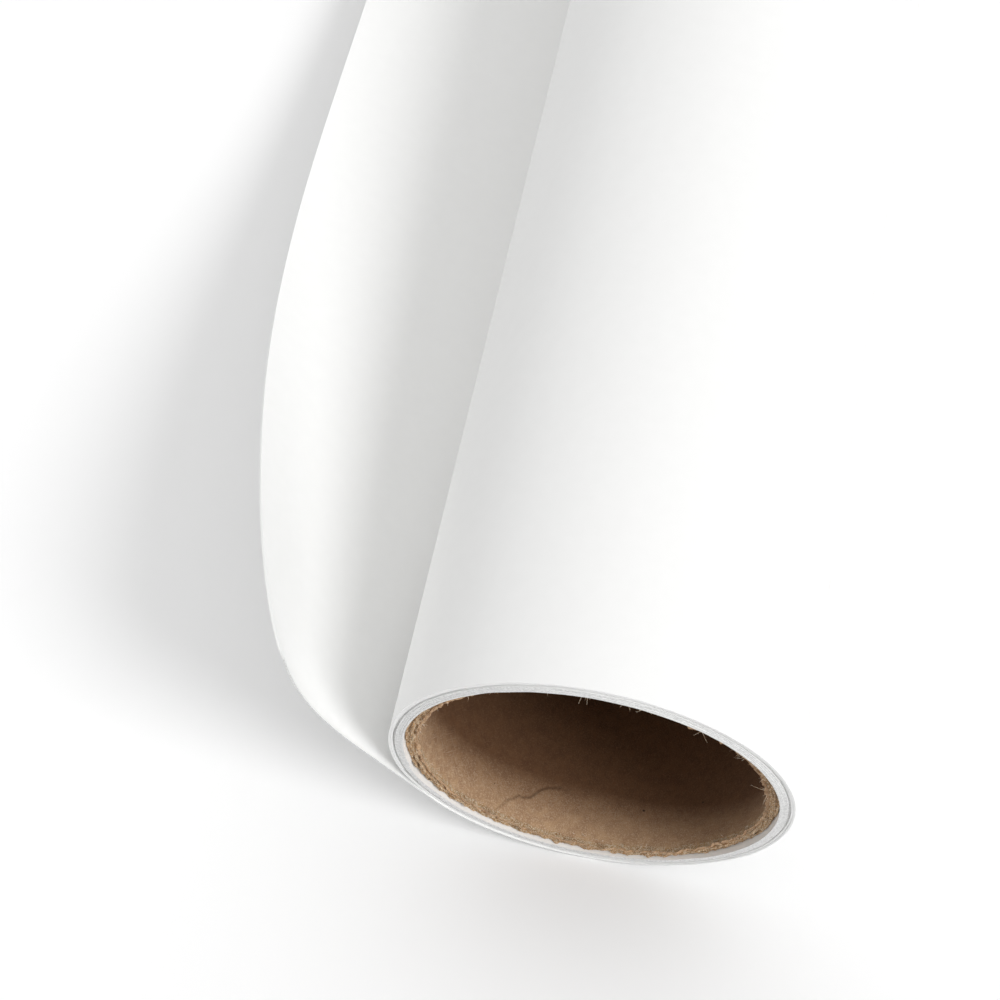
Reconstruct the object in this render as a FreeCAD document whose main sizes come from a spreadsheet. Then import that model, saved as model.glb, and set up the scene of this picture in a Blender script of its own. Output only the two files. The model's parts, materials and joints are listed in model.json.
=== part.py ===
# Roll of backdrop paper lying on a flat surface, millimetres, +Z up.
# The origin is on the core's axis at the middle of its length, +Y runs along the roll and the
# free end of the sheet lies out on the -X side. Angles in the XZ plane are counted from +X to +Z.
import FreeCAD, Part
import math
import os
import Sketcher

doc = FreeCAD.newDocument("BackdropPaperRoll")
vec = FreeCAD.Vector

# ---------------------------------------------------------------- driving dimensions
sizes = doc.addObject("Spreadsheet::Sheet", "Sizes")
values = [
    ("coreBore", 50.8),          # inside diameter of the tube
    ("linerPly", 0.3),           # smooth liner paper
    ("bodyPly", 0.4),            # each spiral-wound kraft board ply
    ("coverPly", 0.3),           # outer kraft ply
    ("paperWidth", 660),         # width of the paper, along the roll
    ("coreRecess", 1.35),        # how far the tube's end sits inside the paper's end
    ("tapeThickness", 0.1),
    ("tapeWide", 19),            # around the tube
    ("tapeLong", 25),            # along the tube
    ("tapeSpacing", 250),
    ("sheetThickness", 0.3),
    ("turnPitch", 0.45),         # thickness of one turn with the air in it
    ("woundTurns", 3),           # turns under the loose outer one
    ("runningGap", 0.25),        # between the wound turns and the loose outer turn
    ("slitAngle", 205),          # where the outer turn dives under the free end
    ("leaveAngle", 217),         # where the sheet leaves the roll at its near end
    ("contactArc", 0.5),         # least stretch, in degrees, that still follows the roll
    ("liftLength", 159),         # the sheet leaves the roll at its bottom beyond this distance
    ("cutSkew", 0.021),          # shortening of the free length for each mm along the roll
    ("straightRun", 18.9),       # straight stretch after the sheet leaves the roll
    ("curlRun", 24.5),           # curled stretch that follows it
    ("edgeRun", 2.8),            # straight stretch up to the cut edge at the near end
    ("nearCurl", 34),            # turn of the curl, in degrees, at the near end
    ("farCurl", 6),              # and along the rest of the roll
    ("liftFall", 0.84),          # how fast the lift dies away along the roll
    ("curlLength", 265),         # distance over which the near end's curl dies away
    ("curlFall", 1.2),           # and how fast
    ("bendReach", 136),          # where the bend line crosses the cut edge, from the near end
    ("bendGap", 0.8),            # clearance along the bend line
]
for row, (alias, value) in enumerate(values, start=1):
    sizes.set("A%d" % row, alias)
    sizes.set("B%d" % row, str(value))
    sizes.setAlias("B%d" % row, alias)
doc.recompute()


def size(alias):
    return float(sizes.get(alias))


# ---------------------------------------------------------------- sizes that follow from them
tubeRadius = size("coreBore") / 2 + size("linerPly") + 3 * size("bodyPly") + size("coverPly")
windStart = tubeRadius + size("tapeThickness")
windEnd = windStart + size("woundTurns") * size("turnPitch") + size("sheetThickness")
turnInside = windEnd + size("runningGap")
rollRadius = turnInside + size("sheetThickness")
nearEnd = -size("paperWidth") / 2
tubeRadiusText = "(Sizes.coreBore / 2 + Sizes.linerPly + 3 * Sizes.bodyPly + Sizes.coverPly)"
windEndText = "(%s + Sizes.tapeThickness + Sizes.woundTurns * Sizes.turnPitch + Sizes.sheetThickness)"
turnInsideText = windEndText % tubeRadiusText + " + Sizes.runningGap"
coreLengthText = "Sizes.paperWidth - 2 * Sizes.coreRecess"

parts = []


# ---------------------------------------------------------------- tube of wound board plies
def tubePly(name, innerText, outerText):
    body = doc.addObject("PartDesign::Body", name + "_body")
    body.Label = name
    plane = [item for item in body.Origin.OriginFeatures if item.Role == "XZ_Plane"][0]
    sketch = body.newObject("Sketcher::SketchObject", name + "_rings")
    sketch.AttachmentSupport = (plane, [""])
    sketch.MapMode = "FlatFace"
    for index, text in enumerate((innerText, outerText)):
        sketch.addGeometry(Part.Circle(vec(0, 0, 0), vec(0, 0, 1), 10 + index))
        sketch.addConstraint(Sketcher.Constraint("Coincident", index, 3, -1, 1))
        constraint = sketch.addConstraint(Sketcher.Constraint("Radius", index, 10 + index))
        sketch.setExpression("Constraints[%d]" % constraint, text)
    pad = body.newObject("PartDesign::Pad", name + "_pad")
    pad.Profile = sketch
    pad.SideType = "Symmetric"
    pad.setExpression("Length", coreLengthText)
    parts.append(body)


plyNames = ["core_liner_ply", "core_body_ply_inner", "core_body_ply_middle", "core_body_ply_outer",
            "core_cover_ply"]
plySteps = ["Sizes.linerPly", "Sizes.bodyPly", "Sizes.bodyPly", "Sizes.bodyPly", "Sizes.coverPly"]
radiusText = "Sizes.coreBore / 2"
for plyName, plyStep in zip(plyNames, plySteps):
    nextText = radiusText + " + " + plyStep
    tubePly(plyName, radiusText, nextText)
    radiusText = nextText


# ---------------------------------------------------------------- curved sectors about the axis
def sector(name, innerText, outerText, lengthText, angleText):
    solids = []
    for suffix, radius in (("_outside", outerText), ("_inside", innerText)):
        cylinder = doc.addObject("Part::Cylinder", name + suffix)
        cylinder.setExpression("Radius", radius)
        cylinder.setExpression("Height", lengthText)
        cylinder.setExpression("Angle", angleText)
        solids.append(cylinder)
    cut = doc.addObject("Part::Cut", name)
    cut.Base = solids[0]
    cut.Tool = solids[1]
    return cut


def alongRoll(start, firstAngle):
    # local Z goes along +Y and the sector is swept from firstAngle towards smaller angles
    lie = FreeCAD.Rotation(vec(1, 0, 0), -90)
    turn = FreeCAD.Rotation(vec(0, 0, 1), -firstAngle)
    return FreeCAD.Placement(vec(0, start, 0), lie.multiply(turn))


# double-sided tape that holds the first turn to the tube
tapeSweep = math.degrees(size("tapeWide") / tubeRadius)
tapes = []
for index in (-1, 0, 1):
    strip = sector("tape_strip_%d" % (index + 2), tubeRadiusText, tubeRadiusText + " + Sizes.tapeThickness",
                   "Sizes.tapeLong", "Sizes.tapeWide / %s * 180 / pi" % tubeRadiusText)
    strip.Placement = alongRoll(index * size("tapeSpacing") - size("tapeLong") / 2, 90 + tapeSweep / 2)
    tapes.append(strip)
tape = doc.addObject("Part::Compound", "core_tape")
tape.Label = "core_tape"
tape.Links = tapes
parts.append(tape)

# loose outer turn: a ring that is open where the free end of the sheet lies over the wound turns
outerTurn = sector("outer_turn", turnInsideText, turnInsideText + " + Sizes.sheetThickness",
                   "Sizes.paperWidth", "Sizes.slitAngle + 90")
outerTurn.Label = "outer_turn"
outerTurn.Placement = alongRoll(nearEnd, size("slitAngle"))
parts.append(outerTurn)


# ---------------------------------------------------------------- wound turns, one open spiral
def spiralEdges(startRadius, halfTurns, pitch):
    # half circles whose centre moves by half a pitch at each half turn
    edges = []
    point = vec(0, 0, -startRadius)
    for index in range(halfTurns):
        radius = startRadius + (index + 0.5) * pitch / 2
        side = 1 if index % 2 == 0 else -1
        centre = vec(0, 0, point.z + side * radius)
        middle = vec(-side * radius, 0, centre.z)
        end = vec(0, 0, centre.z + side * radius)
        edges.append(Part.Arc(point, middle, end).toShape())
        point = end
    return edges


halfTurns = int(round(2 * size("woundTurns")))
insideEdges = spiralEdges(windStart, halfTurns, size("turnPitch"))
outsideEdges = spiralEdges(windStart + size("sheetThickness"), halfTurns, size("turnPitch"))


def ends(edges):
    return edges[0].firstVertex(True).Point, edges[-1].lastVertex(True).Point


insideFirst, insideLast = ends(insideEdges)
outsideFirst, outsideLast = ends(outsideEdges)
caps = [Part.makeLine(insideFirst, outsideFirst), Part.makeLine(insideLast, outsideLast)]
spiralWire = Part.Wire(Part.__sortEdges__(insideEdges + outsideEdges + caps))
spiral = Part.Face(spiralWire).extrude(vec(0, size("paperWidth"), 0))
woundSheet = doc.addObject("Part::Feature", "wound_sheet")
woundSheet.Label = "wound_sheet"
woundSheet.Shape = spiral
woundSheet.Placement = FreeCAD.Placement(vec(0, nearEnd, 0), FreeCAD.Rotation())
parts.append(woundSheet)


# ---------------------------------------------------------------- free end of the sheet
# its length at the near end, along the sheet, from the bottom of the roll to the cut edge
contactRun = math.radians(270 - size("leaveAngle")) * rollRadius
freeLength = contactRun + size("straightRun") + size("curlRun") + size("edgeRun")


def heading(degrees):
    angle = math.radians(degrees)
    return vec(math.cos(angle), 0, math.sin(angle))


def inward(degrees):
    # normal of a stretch with this heading, towards the roll
    return heading(degrees - 90)


def leafPath(distance, offset):
    """Corner points of the sheet's section at this distance from the near end, from the bottom of
    the roll to the cut edge, with the middles of its two arcs; offset is towards the roll."""
    share = min(distance / size("liftLength"), 1.0)
    lift = (1 - share ** size("liftFall")) ** 2
    flatAngle = 270 - size("contactArc")
    leave = flatAngle - (flatAngle - size("leaveAngle")) * lift
    curlShare = min(distance / size("curlLength"), 1.0)
    fade = (1 - curlShare) ** size("curlFall")
    curl = size("farCurl") + (size("nearCurl") - size("farCurl")) * fade
    contact = math.radians(270 - leave) * rollRadius
    lastRun = freeLength - size("cutSkew") * distance - contact
    lastRun -= size("straightRun") + size("curlRun")
    curlRadius = size("curlRun") / math.radians(curl)
    along = leave - 90
    bottom = heading(270) * (rollRadius - offset)
    contactMiddle = heading((270 + leave) / 2) * (rollRadius - offset)
    leaving = heading(leave) * (rollRadius - offset)
    curlStart = leaving + heading(along) * size("straightRun")
    centre = curlStart + inward(along) * (curlRadius - offset)
    curlMiddle = centre - inward(along - curl / 2) * (curlRadius - offset)
    curlEnd = centre - inward(along - curl) * (curlRadius - offset)
    cutEdge = curlEnd + heading(along - curl) * lastRun
    points = [bottom, contactMiddle, leaving, curlStart, curlMiddle, curlEnd, cutEdge]
    return [point + vec(0, nearEnd + distance, 0) for point in points]


def leafSection(distance):
    outer = leafPath(distance, 0)
    inner = leafPath(distance, size("sheetThickness"))
    edges = []
    for points in (outer, inner):
        edges.append(Part.Arc(points[0], points[1], points[2]).toShape())
        edges.append(Part.makeLine(points[2], points[3]))
        edges.append(Part.Arc(points[3], points[4], points[5]).toShape())
        edges.append(Part.makeLine(points[5], points[6]))
    edges.append(Part.makeLine(outer[6], inner[6]))
    edges.append(Part.makeLine(inner[0], outer[0]))
    return Part.Wire(Part.__sortEdges__(edges))


curvedStations = 15
curvedLength = max(size("liftLength"), size("curlLength"))
stations = [curvedLength * index / curvedStations for index in range(curvedStations + 1)]
stations.append(size("paperWidth"))
leaf = Part.makeLoft([leafSection(distance) for distance in stations], True, True)

# the raised corner bends about a straight line, from the near side edge to the cut edge
bendStart = leafPath(0, 0)[3]
bendEnd = leafPath(size("bendReach"), 0)[6]
bendAxis = (bendEnd - bendStart).normalize()
across = inward(90 + (size("leaveAngle") + 270) / 2 - 180 - size("nearCurl") / 2)
cutNormal = bendAxis.cross(across).normalize()


def halfSpace(side):
    # a block whose one face is the bend plane, moved by half the clearance to this side
    reach = size("paperWidth")
    block = Part.makeBox(2 * reach, 2 * reach, reach, vec(-reach, -reach, 0))
    normal = cutNormal * side
    block.Placement = FreeCAD.Placement(bendStart + normal * size("bendGap") / 2,
                                        FreeCAD.Rotation(vec(0, 0, 1), normal))
    return block


cornerSide = 1 if cutNormal.dot(leafPath(0, 0)[6] - bendStart) > 0 else -1
for name, side in (("leaf_base", -cornerSide), ("leaf_corner", cornerSide)):
    piece = doc.addObject("Part::Feature", name)
    piece.Label = name
    piece.Shape = leaf.common(halfSpace(side)).Solids[0]
    parts.append(piece)

# ---------------------------------------------------------------- test and write
doc.recompute()
for item in doc.Objects:
    if "Invalid" in item.State or "Error" in item.State:
        raise RuntimeError("%s is %s" % (item.Name, item.State))
os.makedirs("parts", exist_ok=True)
for item in parts:
    if item.Shape.isNull() or not item.Shape.isValid():
        raise RuntimeError("%s has no valid shape" % item.Label)
    box = item.Shape.BoundBox
    print("%-22s %2d solids %10.1f mm3  x %.1f..%.1f z %.1f..%.1f" % (
        item.Label, len(item.Shape.Solids), item.Shape.Volume, box.XMin, box.XMax, box.ZMin, box.ZMax))
for item in parts:
    item.Shape.exportStep(os.path.join("parts", item.Label + ".step"))
print("roll radius %.3f, bend line %s to %s" % (rollRadius, bendStart, bendEnd))
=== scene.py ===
# Roll of white backdrop paper lying down, its free end lifted at the near corner.
# Metres. +Y runs along the roll, +Z is up and the free end lies out on the -X side.
# Angles in the XZ plane are counted from +X to +Z, so 270 degrees is the bottom of the roll.
import json
import math

import bmesh
import bpy
import numpy as np
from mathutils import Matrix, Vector


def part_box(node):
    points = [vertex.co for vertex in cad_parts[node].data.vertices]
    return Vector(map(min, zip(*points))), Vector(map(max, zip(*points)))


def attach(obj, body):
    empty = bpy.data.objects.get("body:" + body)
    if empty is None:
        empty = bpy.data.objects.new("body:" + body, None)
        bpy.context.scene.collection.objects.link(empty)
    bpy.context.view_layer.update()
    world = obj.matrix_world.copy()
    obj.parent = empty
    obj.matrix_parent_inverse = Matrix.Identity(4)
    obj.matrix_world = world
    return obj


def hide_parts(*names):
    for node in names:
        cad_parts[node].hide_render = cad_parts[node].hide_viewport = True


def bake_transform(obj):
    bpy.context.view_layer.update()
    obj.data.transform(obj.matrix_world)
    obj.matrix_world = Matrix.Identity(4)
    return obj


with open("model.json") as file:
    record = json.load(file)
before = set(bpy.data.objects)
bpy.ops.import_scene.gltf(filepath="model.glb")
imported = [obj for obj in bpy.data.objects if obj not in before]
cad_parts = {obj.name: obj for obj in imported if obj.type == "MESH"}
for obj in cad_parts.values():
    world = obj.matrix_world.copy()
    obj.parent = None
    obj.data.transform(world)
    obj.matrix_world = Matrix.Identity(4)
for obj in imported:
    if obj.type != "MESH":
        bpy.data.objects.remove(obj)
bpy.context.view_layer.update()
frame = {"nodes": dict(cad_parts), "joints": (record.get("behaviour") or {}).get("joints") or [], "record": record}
mm = 0.001

# the roll's own sizes, read from the frame
turnLow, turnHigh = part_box("outer_turn")
linerLow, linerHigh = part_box("core_liner_ply")
coreBore = [mount for mount in frame["record"]["mounts"] if mount["name"] == "core_bore"][0]
rollRadius = turnHigh.x
boreRadius = coreBore["dims"]["r_mm"] * mm
floorLevel = turnLow.z
nearEnd, farEnd = turnLow.y, turnHigh.y
paperWidth = farEnd - nearEnd
tubeNear, tubeFar = linerLow.y, linerHigh.y


# helpers for shapes

def around(angle, radius, y):
    # points on circles about the roll's axis, from degrees, radii and places along it
    turn = np.radians(angle)
    return np.stack(np.broadcast_arrays(radius * np.cos(turn), y, radius * np.sin(turn)), axis=-1)


def heading(angle):
    # unit vectors in the XZ plane
    turn = np.radians(angle)
    return np.stack(np.broadcast_arrays(np.cos(turn), 0.0, np.sin(turn)), axis=-1)


def smooth(share):
    share = np.clip(share, 0, 1)
    return share * share * (3 - 2 * share)


def waves(angle, seed, harmonics, amount):
    # a smooth closed ripple about the axis: whole-number waves with seeded phases
    draw = np.random.RandomState(seed)
    total = np.zeros_like(angle, dtype=float)
    for harmonic in harmonics:
        total += draw.uniform(0.4, 1.0) * np.sin(np.radians(angle) * harmonic + draw.uniform(0, 6.28))
    return total * amount / math.sqrt(len(harmonics))


def rough(count, seed, passes, amount):
    # fibre-sized unevenness along a closed edge
    noise = np.random.RandomState(seed).normal(size=count)
    for _ in range(passes):
        noise = (np.roll(noise, 1) + noise + np.roll(noise, -1)) / 3
    return noise / noise.std() * amount


def newObject(name, points, faces, material, sharpAngle=40):
    mesh = bpy.data.meshes.new(name)
    mesh.from_pydata(points.reshape(-1, 3).tolist(), [], faces.tolist())
    work = bmesh.new()
    work.from_mesh(mesh)
    bmesh.ops.recalc_face_normals(work, faces=work.faces)
    for face in work.faces:
        face.smooth = True
    for edge in work.edges:
        edge.smooth = edge.calc_face_angle(0) < math.radians(sharpAngle)
    work.to_mesh(mesh)
    work.free()
    mesh.materials.append(material)
    thing = bpy.data.objects.new(name, mesh)
    bpy.context.scene.collection.objects.link(thing)
    return thing


def gridFaces(index, closeFirst=False, closeSecond=False):
    # quads between the neighbours in a two-way table of vertex numbers
    if closeFirst:
        index = np.concatenate([index, index[:1]], axis=0)
    if closeSecond:
        index = np.concatenate([index, index[:, :1]], axis=1)
    corners = (index[:-1, :-1], index[1:, :-1], index[1:, 1:], index[:-1, 1:])
    return np.stack([corner.ravel() for corner in corners], axis=1)


def closedRing(name, rows, material):
    # each row is one loop of points about the axis, and the last row joins the first again
    points = np.stack(rows)
    index = np.arange(points.shape[0] * points.shape[1]).reshape(points.shape[:2])
    return newObject(name, points, gridFaces(index, True, True), material)


def sheetSolid(name, upper, lower, material, edgeMaterial):
    # a sheet with thickness, from its two faces given as equal tables of points
    rows, columns = upper.shape[:2]
    section = np.concatenate([upper, lower[:, ::-1]], axis=1)
    index = np.arange(rows * columns * 2).reshape(rows, columns * 2)
    faces = [gridFaces(index, False, True)]
    for row in (0, rows - 1):
        faces.append(gridFaces(np.stack([index[row, :columns], index[row, columns:][::-1]])))
    sheetPiece = newObject(name, section, np.concatenate(faces), material)
    # the faces that close the sheet along both cut edges
    sheetPiece.data.materials.append(edgeMaterial)
    for row in range(rows - 1):
        for column in (columns - 1, columns * 2 - 1):
            sheetPiece.data.polygons[row * columns * 2 + column].material_index = 1
    return sheetPiece


def fromBothEnds(depths, near, far):
    # places along the roll, close together at both ends; near and far may be arrays
    fromNear = [near + depth for depth in depths]
    fromFar = [far - depth for depth in reversed(depths)]
    return fromNear + fromFar


# helpers for materials

def linear(hexColour):
    # sRGB hex to linear red, green, blue and alpha
    channels = [int(hexColour[place:place + 2], 16) / 255 for place in (1, 3, 5)]
    return [c / 12.92 if c <= 0.04045 else ((c + 0.055) / 1.055) ** 2.4 for c in channels] + [1.0]


def addNode(tree, kind, settings=None, links=None):
    # one node with its attributes, input values and incoming links
    node = tree.nodes.new(kind)
    for key, value in (settings or {}).items():
        if isinstance(key, str) and hasattr(node, key):
            setattr(node, key, value)
        else:
            node.inputs[key].default_value = value
    for key, (source, output) in (links or {}).items():
        tree.links.new(source.outputs[output], node.inputs[key])
    return node


def newMaterial(name, roughness, ior):
    material = bpy.data.materials.new(name)
    material.use_nodes = True
    tree = material.node_tree
    tree.nodes.clear()
    shader = addNode(tree, "ShaderNodeBsdfPrincipled", {"Roughness": roughness, "IOR": ior})
    addNode(tree, "ShaderNodeOutputMaterial", links={"Surface": (shader, "BSDF")})
    place = addNode(tree, "ShaderNodeTexCoord")
    return material, tree, shader, place


# Uncoated wood-free paper, machine finished: an even dull white with a faint cloudiness of the pulp
paperFinish = {
    "white": "#F6F6F5",
    "cloud": "#F5F5F4",
    "cloudSize": 2.2 * mm,
    "fibreSize": 0.4 * mm,
    "relief": 0.003 * mm,
    "roughness": 0.9,
    "ior": 1.5,
    # the cut edges' colours, greyer than the paper: partly their own tone, partly painted shade
    "edgeDark": "#DFDFDE",
    "edgeLight": "#F4F4F3",
    "edgeGrain": 0.3 * mm,
    "edgeRelief": 0.04 * mm,
}


def makeUncoatedPaper():
    given = paperFinish
    material, tree, shader, place = newMaterial("uncoatedPaper", given["roughness"], given["ior"])
    cloud = addNode(tree, "ShaderNodeTexNoise", {"Scale": 1 / given["cloudSize"], "Detail": 4.0},
                    {"Vector": (place, "Object")})
    tone = addNode(tree, "ShaderNodeMapRange", {"From Min": 0.35, "From Max": 0.65}, {"Value": (cloud, 0)})
    colour = addNode(tree, "ShaderNodeMix",
                     {"data_type": "RGBA", 6: linear(given["cloud"]), 7: linear(given["white"])},
                     {0: (tone, 0)})
    # real fibres are 0.03 mm wide and are drawn over ten times coarser, or they wouldn't show
    fibre = addNode(tree, "ShaderNodeTexNoise", {"Scale": 1 / given["fibreSize"], "Detail": 3.0},
                    {"Vector": (place, "Object")})
    bump = addNode(tree, "ShaderNodeBump", {"Distance": given["relief"]}, {"Height": (fibre, 0)})
    tree.links.new(colour.outputs[2], shader.inputs["Base Color"])
    tree.links.new(bump.outputs[0], shader.inputs["Normal"])
    return material


# The same paper where the slitter cut it, with the fibre ends standing out of the edge: greyer, partly its own
# tone and partly painted shade of the band between the wound turns at the roll's end
def makeCutEdgeAndPaintedShade():
    given = paperFinish
    material, tree, shader, place = newMaterial("cutEdgeAndPaintedShade", given["roughness"], given["ior"])
    grain = addNode(tree, "ShaderNodeTexNoise", {"Scale": 1 / given["edgeGrain"], "Detail": 3.0},
                    {"Vector": (place, "Object")})
    tone = addNode(tree, "ShaderNodeMapRange", {"From Min": 0.38, "From Max": 0.62}, {"Value": (grain, 0)})
    colour = addNode(tree, "ShaderNodeMix",
                     {"data_type": "RGBA", 6: linear(given["edgeDark"]), 7: linear(given["edgeLight"])},
                     {0: (tone, 0)})
    bump = addNode(tree, "ShaderNodeBump", {"Distance": given["edgeRelief"]}, {"Height": (grain, 0)})
    tree.links.new(colour.outputs[2], shader.inputs["Base Color"])
    tree.links.new(bump.outputs[0], shader.inputs["Normal"])
    return material


# Recycled kraft board, wound and glued: brown and dull, with pale and dark fibres lying every way
boardFinish = {
    "fibreWide": 0.16 * mm,
    "mottle": 1.6 * mm,
    "speckSize": 1.3 * mm,
    "speck": "#4A3018",
    # painted shade: the liner's colour is multiplied by this deep in the bore
    "paintedDeepShade": "#8C7865",
    "rampFrom": 0.3 * mm,          # how far in from the mouth the liner's painted shade starts and where it is full
    "rampTo": 8.5 * mm,            # and where it has kept all of it
    "paintedShadeNearerOnRight": 0.12,           # how much nearer the mouth that is for each metre towards +X
    "roughness": 0.9,
    "ior": 1.5,
}


def makeKraftBoard(name, dark, light, pale, paleFrom, relief, fibreLong, paintedBoreShade=False):
    given = boardFinish
    material, tree, shader, place = newMaterial(name, given["roughness"], given["ior"])
    mottle = addNode(tree, "ShaderNodeTexNoise",
                     {"Scale": 1 / given["mottle"], "Detail": 6.0, "Roughness": 0.65},
                     {"Vector": (place, "Object")})
    tone = addNode(tree, "ShaderNodeMapRange", {"From Min": 0.35, "From Max": 0.65}, {"Value": (mottle, 0)})
    colour = addNode(tree, "ShaderNodeMix", {"data_type": "RGBA", 6: linear(dark), 7: linear(light)},
                     {0: (tone, 0)})
    # three crossed sets of stretched noise are the fibres, five times coarser than real ones
    strands = []
    for turn in (0.7, -0.9, 2.0):
        stretch = addNode(tree, "ShaderNodeMapping",
                          {"vector_type": "TEXTURE", "Rotation": (turn, 0.3, turn),
                           "Scale": (given["fibreWide"], fibreLong, given["fibreWide"])},
                          {"Vector": (place, "Object")})
        strand = addNode(tree, "ShaderNodeTexNoise", {"Scale": 1.0, "Detail": 4.0},
                         {"Vector": (stretch, 0)})
        share = addNode(tree, "ShaderNodeMapRange", {"From Min": paleFrom, "From Max": paleFrom + 0.14},
                        {"Value": (strand, 0)})
        colour = addNode(tree, "ShaderNodeMix", {"data_type": "RGBA", 7: linear(pale)},
                         {0: (share, 0), 6: (colour, 2)})
        strands.append(strand)
    speck = addNode(tree, "ShaderNodeTexNoise", {"Scale": 1 / given["speckSize"], "Detail": 1.0},
                    {"Vector": (place, "Object")})
    share = addNode(tree, "ShaderNodeMapRange", {"From Min": 0.79, "From Max": 0.83}, {"Value": (speck, 0)})
    colour = addNode(tree, "ShaderNodeMix", {"data_type": "RGBA", 7: linear(given["speck"])},
                     {0: (share, 0), 6: (colour, 2)})
    if paintedBoreShade:
        # painted shade: the liner is multiplied darker deeper into the tube from both mouths, starting nearer the
        # mouth on its +X side, where the inside of the tube falls into shade
        parts = addNode(tree, "ShaderNodeSeparateXYZ", links={0: (place, "Object")})
        away = addNode(tree, "ShaderNodeMath", {"operation": "ABSOLUTE"}, {0: (parts, 1)})
        right = addNode(tree, "ShaderNodeMath", {"operation": "MAXIMUM", 1: 0.0}, {0: (parts, 0)})
        away = addNode(tree, "ShaderNodeMath", {"operation": "MULTIPLY_ADD", 1: -given["paintedShadeNearerOnRight"]},
                       {0: (right, 0), 2: (away, 0)})
        share = addNode(tree, "ShaderNodeMapRange",
                        {"From Min": -tubeNear - given["rampFrom"],
                         "From Max": -tubeNear - given["rampTo"]},
                        {"Value": (away, 0)})
        colour = addNode(tree, "ShaderNodeMix",
                         {"data_type": "RGBA", "blend_type": "MULTIPLY", 7: linear(given["paintedDeepShade"])},
                         {0: (share, 0), 6: (colour, 2)})
    height = addNode(tree, "ShaderNodeMath", {"operation": "ADD"}, {0: (strands[0], 0), 1: (strands[1], 0)})
    bump = addNode(tree, "ShaderNodeBump", {"Distance": relief}, {"Height": (height, 0)})
    tree.links.new(colour.outputs[2], shader.inputs["Base Color"])
    tree.links.new(bump.outputs[0], shader.inputs["Normal"])
    return material


# Acrylic double-sided tape, cut from a reel: smooth, yellowish, faintly glossy with trapped air
tapeFinish = {"clear": "#DDD6BE", "airy": "#EFEBDD", "bubble": 1.5 * mm, "roughness": 0.35, "ior": 1.47}


def makeAcrylicTape():
    given = tapeFinish
    material, tree, shader, place = newMaterial("acrylicTape", given["roughness"], given["ior"])
    air = addNode(tree, "ShaderNodeTexNoise", {"Scale": 1 / given["bubble"], "Detail": 2.0},
                  {"Vector": (place, "Object")})
    tone = addNode(tree, "ShaderNodeMapRange", {"From Min": 0.45, "From Max": 0.6}, {"Value": (air, 0)})
    colour = addNode(tree, "ShaderNodeMix",
                     {"data_type": "RGBA", 6: linear(given["clear"]), 7: linear(given["airy"])},
                     {0: (tone, 0)})
    tree.links.new(colour.outputs[2], shader.inputs["Base Color"])
    return material


boardKinds = {
    # pressed smooth on the mandrel inside the tube: even, with faint long fibres, and painted shade deeper into
    # the bore
    "smoothKraftLiner": {"dark": "#AD8867", "light": "#C6A17B", "pale": "#D6B99A", "paleFrom": 0.55,
                         "relief": 0.03 * mm, "fibreLong": 1.6 * mm, "paintedBoreShade": True},
    # sawn and torn through the plies: rough, with dark gaps and pale fibre ends
    "tornKraftBoard": {"dark": "#936D46", "light": "#C49A6B", "pale": "#DCC9AE", "paleFrom": 0.52,
                       "relief": 0.1 * mm, "fibreLong": 0.5 * mm},
    # single fibres standing free of the board: the palest of the three
    "looseKraftFibre": {"dark": "#C29B6E", "light": "#DBBE98", "pale": "#F0E6D6", "paleFrom": 0.5,
                        "relief": 0.02 * mm, "fibreLong": 0.5 * mm},
}

uncoatedPaper = makeUncoatedPaper()
cutEdgeAndPaintedShade = makeCutEdgeAndPaintedShade()
smoothLiner, tornBoard, looseFibre = [makeKraftBoard(name, **kind) for name, kind in boardKinds.items()]
acrylicTape = makeAcrylicTape()
print("materials made")


# camera, floor and light

cameraSetup = {"lens": 86.4, "fromNearEnd": (0.498, -4.612, 10.756), "tilt": 29.92, "turn": 11.52}
camera = bpy.data.objects.new("camera", bpy.data.cameras.new("camera"))
bpy.context.scene.collection.objects.link(camera)
camera.data.lens = cameraSetup["lens"]
camera.location = Vector(cameraSetup["fromNearEnd"]) * rollRadius + Vector((0, nearEnd, 0))
camera.rotation_euler = (math.radians(cameraSetup["tilt"]), 0, math.radians(cameraSetup["turn"]))
bpy.context.scene.camera = camera
bpy.context.scene.view_settings.view_transform = "Standard"

floorSetup = {"side": 8.0, "under": 0.02 * mm, "colour": "#FDFDFD", "roughness": 0.9, "ior": 1.5}
half = floorSetup["side"] / 2
floorPoints = np.array([(x, y, floorLevel - floorSetup["under"]) for x, y in
                        ((-half, -half), (half, -half), (half, half), (-half, half))])
floorMaterial, tree, shader, place = newMaterial("paleFloor", floorSetup["roughness"], floorSetup["ior"])
shader.inputs["Base Color"].default_value = linear(floorSetup["colour"])
shader.inputs["Specular IOR Level"].default_value = 0.0
floor = newObject("floor", floorPoints, np.array([[0, 1, 2, 3]]), floorMaterial)

lampSetup = {
    "overheadLamp": {"direction": (-0.92, 0.4, -1.0), "spread": 24, "strength": 1.36},
    "sideLamp": {"direction": (-0.85, 0.5, -0.14), "spread": 30, "strength": 0.56},
}
for name, given in lampSetup.items():
    lamp = bpy.data.objects.new(name, bpy.data.lights.new(name, "SUN"))
    bpy.context.scene.collection.objects.link(lamp)
    lamp.data.energy = given["strength"]
    lamp.data.angle = math.radians(given["spread"])
    lamp.rotation_euler = Vector(given["direction"]).to_track_quat("-Z", "Y").to_euler()

# the room is brightest overhead, a little to the left and behind, and dim in front of the roll's end
roomSetup = {"brightest": (-0.2, 0.34, 0.918), "dim": 0.02, "bright": 1.13}

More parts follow.
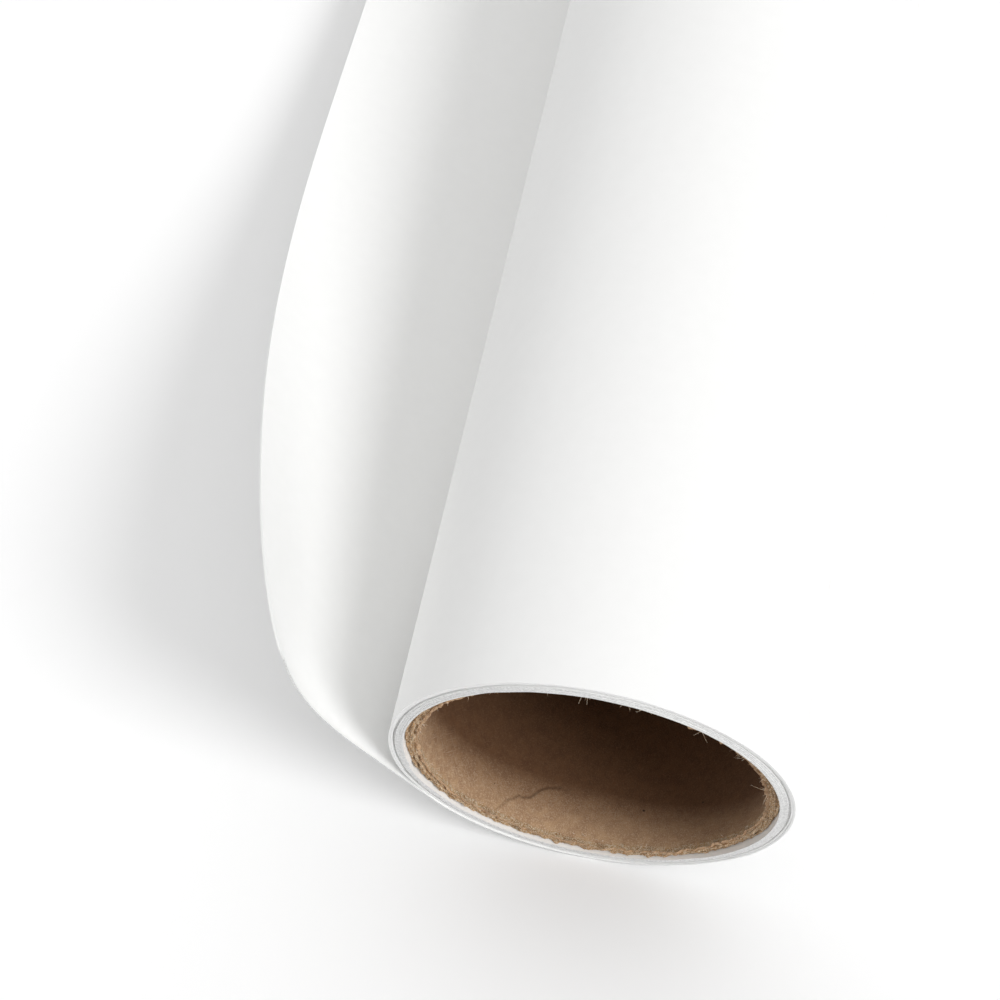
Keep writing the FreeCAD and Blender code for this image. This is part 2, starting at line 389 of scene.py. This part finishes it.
world = bpy.data.worlds.new("paleRoom")
bpy.context.scene.world = world
world.use_nodes = True
tree = world.node_tree
tree.nodes.clear()
rays = addNode(tree, "ShaderNodeLightPath")
direction = addNode(tree, "ShaderNodeTexCoord")
towards = addNode(tree, "ShaderNodeVectorMath", {"operation": "DOT_PRODUCT", 1: roomSetup["brightest"]},
                  {0: (direction, "Generated")})
level = addNode(tree, "ShaderNodeMapRange",
                {"From Min": 0.0, "From Max": 1.0,
                 "To Min": roomSetup["dim"], "To Max": roomSetup["bright"]},
                {"Value": (towards, "Value")})
surround = addNode(tree, "ShaderNodeBackground", links={"Strength": (level, 0)})
surround.inputs["Color"].default_value = (1, 1, 1, 1)
seen = addNode(tree, "ShaderNodeBackground", {"Strength": 1.0})
seen.inputs["Color"].default_value = (1, 1, 1, 1)
mixed = addNode(tree, "ShaderNodeMixShader",
                links={0: (rays, "Is Camera Ray"), 1: (surround, 0), 2: (seen, 0)})
addNode(tree, "ShaderNodeOutputWorld", links={"Surface": (mixed, 0)})
print("camera, floor and light set")


# the sheet: wound turns, the loose outer turn and the free end

sheet = {
    "thickness": 0.3 * mm,
    "firstRadius": 27.3 * mm,      # inside of the first turn, on the tube
    "woundRadius": 28.84 * mm,     # outside of the last wound turn
    "woundTurns": 5,
    "looseTurns": 1.8,
    "looseStep": 0.32 * mm,        # how far the loose turns step in to pass under their own end
    "stepFrom": 0.79,              # shares of a turn between which each turn steps inwards
    "stepTo": 0.86,
    "pointsPerTurn": 260,
    "rowDepths": (0, 0.15, 0.5, 1.2, 3, 12, 60, 200),   # millimetres in from each cut edge
    "drawnIn": 0.6 * mm,           # how far the deepest turn's cut edge sits inside the roll's end
    # shares of that, layer by layer from the outside: the third layer leaves a shallow groove
    "layers": (0, 0.12, 1, 1.8, 2, 2.9, 3.05, 5, 7),
    "layerShares": (0.0, 0.3, 0.4, 0.5, 1.0, 1.0, 0.35, 0.2, 0.0),
    "wander": 0.09,                # slow and fine unevenness of the cut edges, as the same shares
    "fray": 0.035,
}


def stepsIn(turnsIn):
    # a tight roll's turns are round, and step in over a short stretch instead of growing evenly
    whole = np.floor(turnsIn)
    return whole + smooth((turnsIn - whole - sheet["stepFrom"]) / (sheet["stepTo"] - sheet["stepFrom"]))


def ribbon(angle, middle, nearEdge, farEdge, depths):
    # a wound stretch: for each path point the two faces at places along the roll
    halfThick = sheet["thickness"] / 2
    places = np.stack(fromBothEnds(depths, nearEdge, farEdge), axis=1)
    outer = around(angle[:, None], middle[:, None] + halfThick, places)
    inner = around(angle[:, None], middle[:, None] - halfThick, places)
    return outer, inner


def telescoped(layer, angle, seed):
    # how far the cut edge is drawn in along a wound stretch; its own outer end stays level
    profile = np.interp(layer, sheet["layers"], sheet["layerShares"])
    uneven = waves(angle, seed, (1, 2, 3, 5), sheet["wander"]) + rough(len(angle), seed, 2, sheet["fray"])
    return np.clip(profile + uneven * smooth(layer / sheet["layers"][1]), 0, None) * sheet["drawnIn"]


def woundSheet(name, turns, outside, step, firstLayer, seed, edgeMaterial):
    # turns of the sheet from their inner end outwards, ending at the bottom of the roll
    turnsIn = np.linspace(turns, 0, int(turns * sheet["pointsPerTurn"]) + 1)
    angle = 270 + 360 * turnsIn
    middle = outside - sheet["thickness"] / 2 - step * stepsIn(turnsIn)
    layer = firstLayer + turnsIn
    nearEdge = nearEnd + telescoped(layer, angle, seed)
    farEdge = farEnd - telescoped(layer, angle, seed + 5)
    depths = [depth * mm for depth in sheet["rowDepths"]]
    faces = ribbon(angle, middle, nearEdge, farEdge, depths)
    return sheetSolid(name, *faces, uncoatedPaper, edgeMaterial)


turns = sheet["woundTurns"] - 1 + sheet["stepFrom"]
woundStep = (sheet["woundRadius"] - sheet["thickness"] - sheet["firstRadius"]) / (sheet["woundTurns"] - 1)
# the wound turns' cut edges get the greyer edge colour, partly painted shade of the band between the turns at the
# roll's end; the loose turn's edges keep the paper white
woundTurns = woundSheet("woundTurns", turns, sheet["woundRadius"], woundStep, firstLayer=2, seed=3,
                        edgeMaterial=cutEdgeAndPaintedShade)
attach(woundTurns, "roll")
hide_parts("wound_sheet")

looseTurn = woundSheet("looseTurn", sheet["looseTurns"], rollRadius, sheet["looseStep"], firstLayer=0,
                       seed=4, edgeMaterial=uncoatedPaper)
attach(looseTurn, "outer_sheet")
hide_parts("outer_turn")
print("wound and loose turns made")

freeEnd = {
    "leaveAngle": 217,             # where the sheet leaves the roll at its near end
    "contactArc": 0.5,             # least stretch, in degrees, that still follows the roll
    "liftLength": 159 * mm,        # beyond this the sheet leaves the roll at its bottom
    "liftFall": 0.84,
    "straightRun": 18.9 * mm,
    "curlRun": 24.5 * mm,
    "edgeRun": 2.8 * mm,
    "curlEase": 5 * mm,            # the curl starts and ends this much more gently
    "nearCurl": 34,                # degrees that the curl turns through, at the near and the far end
    "farCurl": 6,
    "curlLength": 265 * mm,        # how far along the roll the curl fades
    "curlFall": 1.2,
    "cutSkew": 0.021,              # the cut edge comes nearer the roll by this share of the way along
    "cornerRound": 1.2 * mm,
    "flatLength": 73.5 * mm,       # of the free end at its near edge, before it was curled
    "ripple": 0.18 * mm,
    "contactPoints": 24,
    "freePoints": 84,
}


def freeSheet():
    given = freeEnd
    # rows along the roll: close at the cut corner, 3 mm apart over the curl, then wider
    depth = np.concatenate([np.array([0, 0.15, 0.4, 0.8, 1.3, 2]) * mm,
                            np.arange(3 * mm, 270 * mm, 3 * mm),
                            np.linspace(270 * mm, paperWidth, 28)])
    lift = (1 - np.minimum(depth / given["liftLength"], 1) ** given["liftFall"]) ** 2
    flat = 270 - given["contactArc"]
    leave = flat - (flat - given["leaveAngle"]) * lift
    fade = (1 - np.minimum(depth / given["curlLength"], 1)) ** given["curlFall"]
    curl = given["farCurl"] + (given["nearCurl"] - given["farCurl"]) * fade
    contact = np.radians(270 - leave) * rollRadius
    whole = (math.radians(270 - given["leaveAngle"]) * rollRadius + given["straightRun"] + given["curlRun"]
             + given["edgeRun"])
    free = whole - given["cutSkew"] * depth - contact
    free -= given["cornerRound"] * (1 - np.minimum(depth / given["cornerRound"], 1)) ** 2
    # the stretch on the roll, then the free run, whose heading is added up point by point
    share = np.linspace(0, 1, given["contactPoints"], endpoint=False)
    onRoll = 270 + share[:, None] * (leave - 270)[None]
    run = np.linspace(0, 1, given["freePoints"])[:, None] * free[None]
    eased = (run - given["straightRun"] + given["curlEase"]) / (given["curlRun"] + 2 * given["curlEase"])
    along = (leave - 90)[None] - curl[None] * smooth(eased)
    stepAngle = (along[1:] + along[:-1]) / 2
    steps = heading(stepAngle) * (run[1:] - run[:-1])[..., None]
    radius = rollRadius - sheet["thickness"] / 2
    start = around(leave, radius, 0.0)[None]
    freePath = np.concatenate([start, start + np.cumsum(steps, axis=0)])
    path = np.concatenate([around(onRoll, radius, 0.0), freePath])
    outward = np.concatenate([heading(onRoll), heading(along + 90)])
    # the cut edge ripples a little, more towards the edge
    loose = np.concatenate([np.zeros_like(onRoll), run / free[None]]) ** 2
    wave = waves(depth * 360 / paperWidth, 21, (5, 8, 13), given["ripple"])
    path += outward * (loose * wave[None])[..., None]
    path[..., 1] = (nearEnd + depth)[None]
    halfThick = sheet["thickness"] / 2
    return sheetSolid("freeEnd", path + outward * halfThick, path - outward * halfThick, uncoatedPaper,
                      cutEdgeAndPaintedShade)


freeSheetPiece = freeSheet()
bend = [joint for joint in frame["joints"] if joint["name"] == "corner_bend"][0]
bendAxis = Vector(bend["axis"])
# how much sheet lies before and after the bend's line, and the way that line faces; only the direction across the
# bend is worked out from them
bendSoft = {"before": 8 * mm, "after": 7 * mm, "facing": Vector((0.688, 0.0, 0.725))}
acrossBend = bendSoft["facing"].cross(bendAxis).normalized()
if acrossBend.z < 0:
    acrossBend.negate()
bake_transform(freeSheetPiece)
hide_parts("leaf_base", "leaf_corner")
print("free end made")


# the tube: five glued plies, roughly sawn, with a torn and lifted patch of liner at the near end

tube = {
    "points": 720,
    "burr": 0.35 * mm,             # the saw's raised edge round the bore
    "burrFade": 0.5 * mm,
    "burrInside": 0.3,             # share of the burr on the plies behind the liner
    "tearLift": 0.34 * mm,         # how far the torn liner stands off the wall
    "tearStep": 0.4 * mm,
    "tearRagged": 0.16 * mm,
    "crease": 0.2 * mm,            # width and depth of the groove at the tear's edge
    "creaseDepth": 0.07 * mm,
    "creaseShares": (0.55, 0.35),  # middle and variation of the groove along the tear
    # the tear's reach into the bore, in millimetres at angles round it
    "tearAngles": (236, 237, 240, 244, 248, 251, 254, 259, 268, 280),
    "tearDepths": (0.2, 1.3, 3.2, 4.5, 5.2, 6.8, 7.8, 8.0, 7.6, 6.0),
    "tearFade": (250, 267),        # the tear closes and lies flat between these angles
    "sawTilt": 0.5 * mm,           # the saw cut is out of square: the bottom stands out, the top is in
    "sawStand": 0.3 * mm,
    "slowWave": 0.16 * mm,         # unevenness of each ply's sawn end
    "chips": 0.10 * mm,
    "fray": 0.06 * mm,
    "lumps": 0.09 * mm,
    "outsideBand": 3 * mm,         # first stretch of each ply's outside, beyond its cut face
    "frayedRows": 4,               # rows of the liner at the near end, 0.2 mm each, frayed to bare board
}
# piece, CAD node, material, slot and how far the end sits back, in millimetres
plies = [
    ("linerPly", "core_liner_ply", smoothLiner, "liner_paper", 0.0),
    ("innerBoardPly", "core_body_ply_inner", tornBoard, "kraft_board", 0.25),
    ("middleBoardPly", "core_body_ply_middle", tornBoard, "kraft_board", 0.1),
    ("outerBoardPly", "core_body_ply_outer", tornBoard, "kraft_board", 0.3),
    ("coverPly", "core_cover_ply", tornBoard, "kraft_board", 0.15),
]
tubeAngle = np.linspace(0, 360, tube["points"], endpoint=False)


def linerTear(depth):
    # how far the liner stands off the wall at this depth, all round the bore; no tear where reach < 0
    reach = np.interp(tubeAngle, tube["tearAngles"], tube["tearDepths"], left=-2, right=-2) * mm
    reach += rough(len(tubeAngle), 31, 3, tube["tearRagged"])
    inside = smooth((reach - depth) / tube["tearStep"])
    groove = np.exp(-((depth - reach - tube["crease"]) / tube["crease"]) ** 2) * (reach > 0)
    middle, vary = tube["creaseShares"]
    groove *= np.clip(middle + rough(len(tubeAngle), 33, 40, vary), 0.1, 1.2)
    # the torn flap stands off less at the mouth
    slope = 0.3 + 0.7 * np.clip(depth / (5 * mm), 0, 1)
    rampFrom, rampTo = tube["tearFade"]
    opened = 1 - smooth((tubeAngle - rampFrom) / (rampTo - rampFrom))
    return opened * (inside * slope * tube["tearLift"] - groove * tube["creaseDepth"])


def plyEnd(seed, recess, side):
    # the sawn and torn end of one ply: a slow wave, chips and fibres
    shape = waves(tubeAngle, seed, (1, 2, 3, 7), tube["slowWave"])
    shape += rough(len(tubeAngle), seed, 6, tube["chips"])
    shape += rough(len(tubeAngle), seed + 1, 1, tube["fray"]) + recess * mm
    shape += tube["sawTilt"] * np.sin(np.radians(tubeAngle)) - tube["sawStand"]
    return (tubeNear + shape) if side == "near" else (tubeFar - shape)


def makePly(index, name, node, material, recess):
    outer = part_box(node)[1].x
    inner = boreRadius if index == 0 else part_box(plies[index - 1][1])[1].x
    nearEdge = plyEnd(40 + 5 * index, recess, "near")
    farEdge = plyEnd(80 + 5 * index, recess, "far")
    if index == 0:
        depths = [depth * mm for depth in np.concatenate([np.arange(0, 10.5, 0.2), [12, 15, 20, 40, 120]])]
    else:
        depths = [depth * mm for depth in (0, 0.3, 0.8, 2, 20)]
    rows = []
    burr = np.abs(waves(tubeAngle, 55 + index, (2, 3, 5, 11), 0.7)
                  + rough(len(tubeAngle), 57 + index, 2, 0.35))
    burr = burr * tube["burr"] * (1 if index == 0 else tube["burrInside"])
    places = fromBothEnds(depths, nearEdge, farEdge)
    fromEdge = depths + depths[::-1]
    for number, (place, depth) in enumerate(zip(places, fromEdge)):
        radius = inner - burr * np.exp(-depth / tube["burrFade"])
        if index == 0 and number < len(depths):   # only the near end is torn
            radius = radius - linerTear(depth)
        rows.append(around(tubeAngle, radius, place))
    # the cut face has two uneven rows between the ply's inside and outside
    for edge, side, seed in ((farEdge, 1, 60), (nearEdge, -1, 70)):
        steps = (0.33, 0.67) if side > 0 else (0.67, 0.33)
        face = []
        for step in steps:
            lumps = rough(len(tubeAngle), seed + int(step * 10) + index, 1, tube["lumps"])
            face.append(around(tubeAngle, inner + (outer - inner) * step, edge + side * lumps))
        outside = around(tubeAngle, outer, edge)
        if side > 0:
            rows += face + [outside, around(tubeAngle, outer, edge - tube["outsideBand"])]
        else:
            rows += [around(tubeAngle, outer, edge + tube["outsideBand"]), outside] + face
    ply = closedRing(name, rows, material)
    if index == 0:
        ply.data.materials.append(tornBoard)
        for row in range(tube["frayedRows"]):
            for number in range(len(tubeAngle)):
                ply.data.polygons[row * len(tubeAngle) + number].material_index = 1
    return ply


for index, (name, node, material, slotName, recess) in enumerate(plies):
    ply = makePly(index, name, node, material, recess)
    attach(ply, "roll")
    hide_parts(node)
print("tube plies made")

tape = frame["nodes"]["core_tape"]
tape.data.materials.clear()
tape.data.materials.append(acrylicTape)


# loose fibres of board round both sawn ends of the tube

fibres = {"perEnd": 150, "long": 1.0 * mm, "thick": 0.1 * mm, "inTuft": 8,
          "bow": 0.35, "taper": 0.75, "rings": 6, "deepest": 0.5 * mm, "acrossRim": (-0.1 * mm, 0.5 * mm),
          # angle and length in millimetres of each tuft
          "tufts": ((124, 1.1), (92, 1.7), (83, 1.4), (76, 1.2), (73, 1.1), (56, 1.6), (36, 1.2),
                    (10, 1.6), (168, 1.0), (205, 1.0), (228, 1.1), (243, 1.2), (290, 0.9))}


def oneFibre(draw, root, aim, length, thick):
    # a bent, tapering, three-sided strand
    side = np.cross(aim, draw.normal(size=3))
    side /= np.linalg.norm(side)
    up = np.cross(aim, side)
    bow = draw.normal(size=2) * length * fibres["bow"]
    rings = []
    for share in np.linspace(0, 1, fibres["rings"]):
        centre = root + aim * length * share + (side * bow[0] + up * bow[1]) * share ** 2
        size = thick / 2 * (1 - fibres["taper"] * share)
        for turn in (0, 2.094, 4.189):   # thirds of a turn
            rings.append(centre + (side * math.cos(turn) + up * math.sin(turn)) * size)
    index = np.arange(len(rings)).reshape(fibres["rings"], 3)
    faces = [list(face) for face in gridFaces(index, False, True)]
    return rings, faces + [list(index[0][::-1]), list(index[-1])]


def fibreTuft(name, seed, end, inwards):
    draw = np.random.RandomState(seed)
    points, faces = [], []
    places = [(draw.uniform(0, 360), draw.uniform(0.25, 1.0)) for _ in range(fibres["perEnd"])]
    for angle, size in fibres["tufts"]:
        places += [(angle + draw.normal() * 0.7, size * draw.uniform(0.6, 1.1))
                   for _ in range(fibres["inTuft"])]
    for angle, size in places:
        depth = draw.uniform(0.0, fibres["deepest"])
        radius = boreRadius + draw.uniform(*fibres["acrossRim"])
        root = around(np.array(angle + draw.normal() * 0.8), radius, end + inwards * depth)
        radial = heading(np.array(angle))
        aim = -radial * draw.uniform(0.2, 1.0) + np.array([0, -inwards, 0]) * draw.uniform(-0.1, 0.7)
        aim += np.cross(radial, [0, 1, 0]) * draw.normal() * 0.9
        aim /= np.linalg.norm(aim)
        strand, strandFaces = oneFibre(draw, root, aim, fibres["long"] * size, fibres["thick"])
        faces += [[corner + len(points) for corner in face] for face in strandFaces]
        points += strand
    mesh = bpy.data.meshes.new(name)
    mesh.from_pydata([tuple(point) for point in points], [], faces)
    mesh.materials.append(looseFibre)
    thing = bpy.data.objects.new(name, mesh)
    bpy.context.scene.collection.objects.link(thing)
    return thing


for name, seed, end, inwards in (("nearEndFibres", 11, tubeNear, 1), ("farEndFibres", 12, tubeFar, -1)):
    tuft = fibreTuft(name, seed, end, inwards)
    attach(tuft, "roll")
print("loose fibres made")
